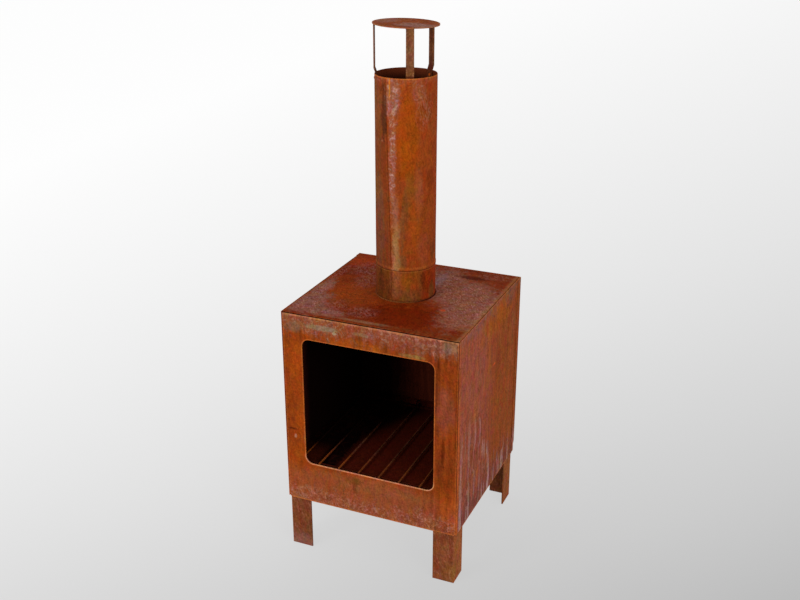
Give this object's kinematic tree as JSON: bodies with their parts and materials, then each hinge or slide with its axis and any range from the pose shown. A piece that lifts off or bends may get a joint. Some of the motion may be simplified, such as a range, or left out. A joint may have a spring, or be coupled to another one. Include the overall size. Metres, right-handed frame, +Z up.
{
  "type": "chiminea",
  "caption": "Square weathering-steel garden chiminea with a rounded-square mouth, angle legs, a loose rod grate and a plug-in chimney pipe with a flat rain cap.",
  "frame": {"origin": "on the ground under the middle of the firebox", "axes": "+Z up through the chimney, the mouth faces -Y, +X to the right as the mouth is seen"},
  "size_m": [0.399, 0.383, 1.1369],
  "materials": {
    "front_and_top": "rusted weathering steel, matt, orange-brown",
    "side_panels": "rusted weathering steel, matt, red-brown",
    "back_panel": "rusted weathering steel, matt, red-brown",
    "floor": "rusted and sooted steel, matt",
    "legs": "rusted steel angle, matt, dark brown",
    "collar": "rusted weathering steel, matt, brown",
    "pipe": "rusted weathering steel, matt, orange-brown with grey streaks",
    "cap": "rusted weathering steel, matt",
    "cap_strips": "rusted steel strip, matt",
    "grate": "rusted steel rod, matt"
  },
  "bodies": {
    "root": {"front_top_sheet": "front_and_top", "left_side_panel": "side_panels", "right_side_panel": "side_panels", "back_panel": "back_panel", "floor_plate": "floor", "leg_front_left": "legs", "leg_front_right": "legs", "leg_back_left": "legs", "leg_back_right": "legs", "flue_collar": "collar"},
    "flue": {"flue_pipe": "pipe", "cap_disc": "cap", "cap_strip_front": "cap_strips", "cap_strip_back": "cap_strips", "cap_strip_left": "cap_strips", "cap_rivets": "cap_strips"},
    "grate": {"grate_rod_1": "grate", "grate_rod_2": "grate", "grate_rod_3": "grate", "grate_rod_4": "grate", "grate_rod_5": "grate", "grate_rod_6": "grate", "grate_rod_7": "grate", "grate_rod_8": "grate", "grate_cross_front": "grate", "grate_cross_back": "grate", "grate_loop": "grate"}
  },
  "joints": [
    {"name": "flue_lift", "type": "slide", "parent": "root", "child": "flue", "axis": [0, 0, 1], "range_m": [0, 0.06]},
    {"name": "grate_lift", "type": "slide", "parent": "root", "child": "grate", "axis": [0, 0, 1], "range_m": [0, 0.06]}
  ]
}
